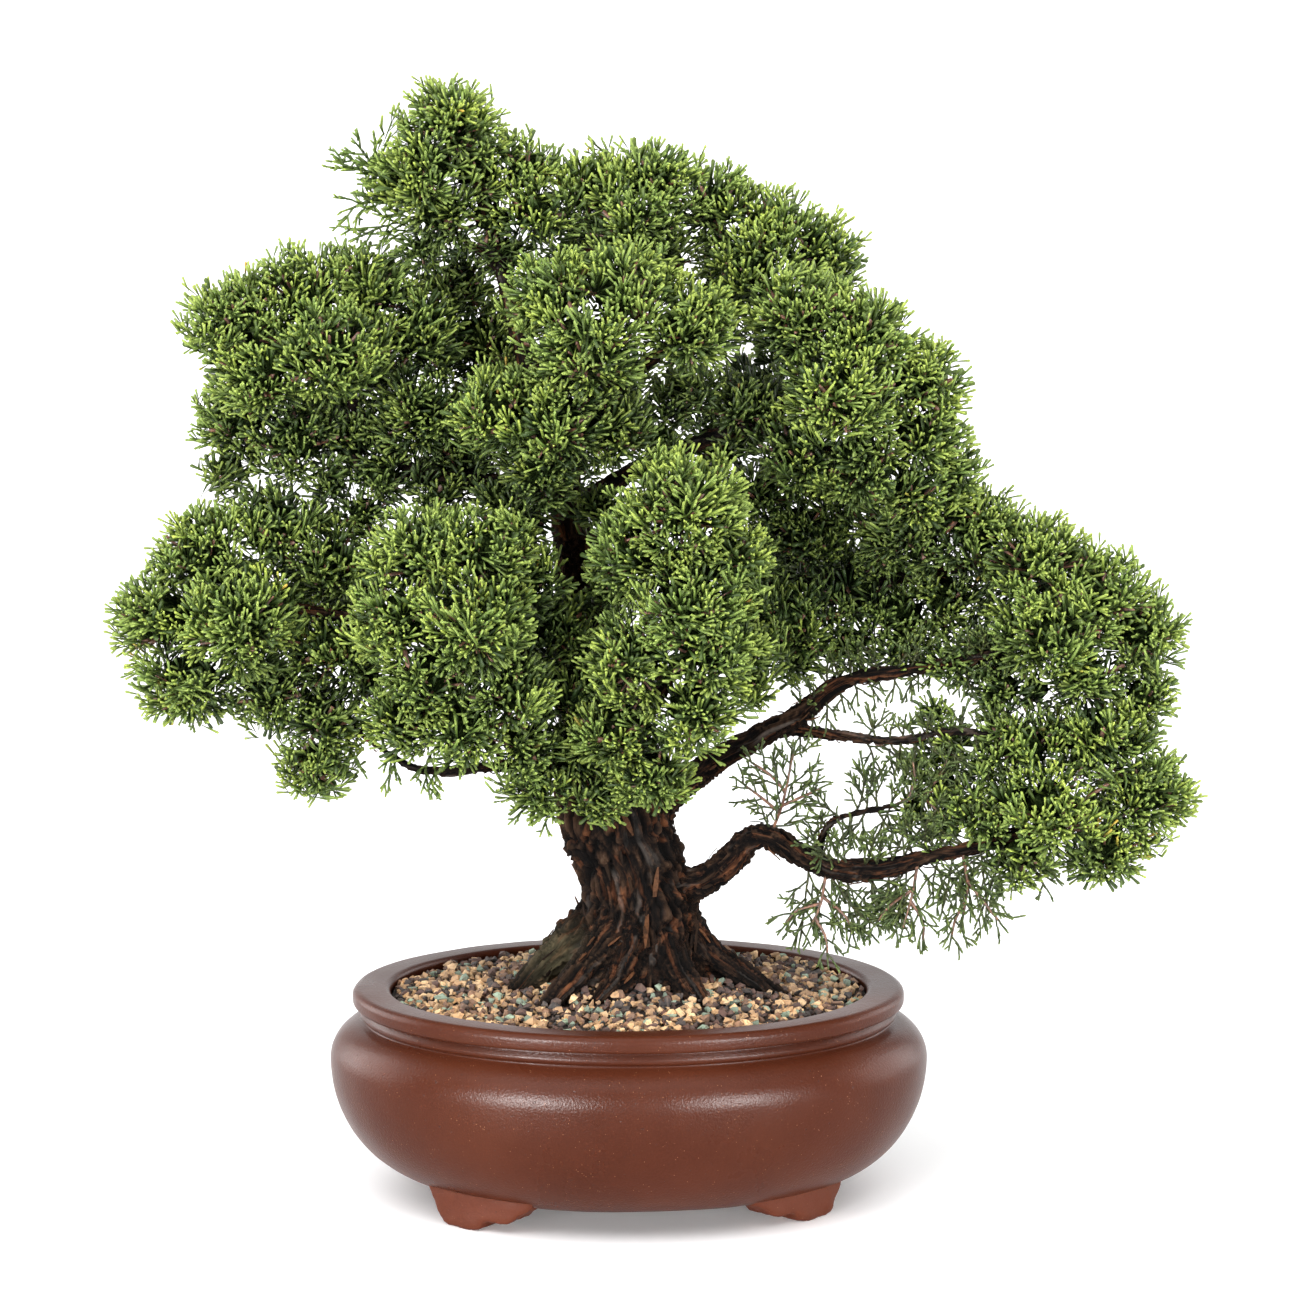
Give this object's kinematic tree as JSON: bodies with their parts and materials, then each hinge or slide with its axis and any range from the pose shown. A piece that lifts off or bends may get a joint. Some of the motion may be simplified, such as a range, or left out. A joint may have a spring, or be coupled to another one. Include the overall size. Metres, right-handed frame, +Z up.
{
  "type": "chinese juniper bonsai",
  "caption": "Old informal-upright juniper bonsai with clouds of cord-like foliage, a flared and rooted trunk and bare right-hand limbs, planted in gravel in an oval clay pot on bracket feet.",
  "frame": {"origin": "under the middle of the whole tree's bounding box, in the plane of the soles of the pot's feet", "axes": "+Z up, -Y towards the front of the tree as displayed, +X to the viewer's right, along the pot's length"},
  "size_m": [0.5432, 0.2662, 0.5638],
  "materials": {
    "pot_clay": "satin",
    "grit": "matte",
    "bark": "matte",
    "foliage": "matte",
    "screen_plastic": "matte"
  },
  "bodies": {
    "root": {"pot": "pot_clay", "drain_screen_left": "screen_plastic", "drain_screen_right": "screen_plastic", "soil": "grit", "trunk": "bark", "foliage_apex": "foliage", "foliage_apex_right": "foliage", "foliage_crown": "foliage", "foliage_crown_right": "foliage", "foliage_heart_top": "foliage", "foliage_heart_low": "foliage", "foliage_front_head": "foliage", "foliage_front_skirt": "foliage", "foliage_front_left": "foliage", "foliage_front_left_low": "foliage", "foliage_veil": "foliage", "foliage_left_shoulder": "foliage", "foliage_left_shoulder_low": "foliage", "foliage_left_heart": "foliage", "foliage_low_left": "foliage", "foliage_low_left_under": "foliage", "foliage_right_shoulder": "foliage", "foliage_right_shoulder_low": "foliage", "foliage_far_right_top": "foliage", "foliage_low_right": "foliage", "foliage_shade": "foliage", "foliage_far_right_mid": "foliage", "foliage_back_crown": "foliage", "foliage_back_left_high": "foliage", "foliage_back_right_high": "foliage", "foliage_back_heart": "foliage", "foliage_back_left_low": "foliage", "foliage_back_mid_left": "foliage", "foliage_back_right_low": "foliage", "foliage_back_far_right": "foliage", "spray_hanging_near": "foliage", "spray_hanging_far": "foliage", "spray_hanging_end": "foliage", "spray_thin_end": "foliage", "spray_upright": "foliage"}
  },
  "joints": []
}
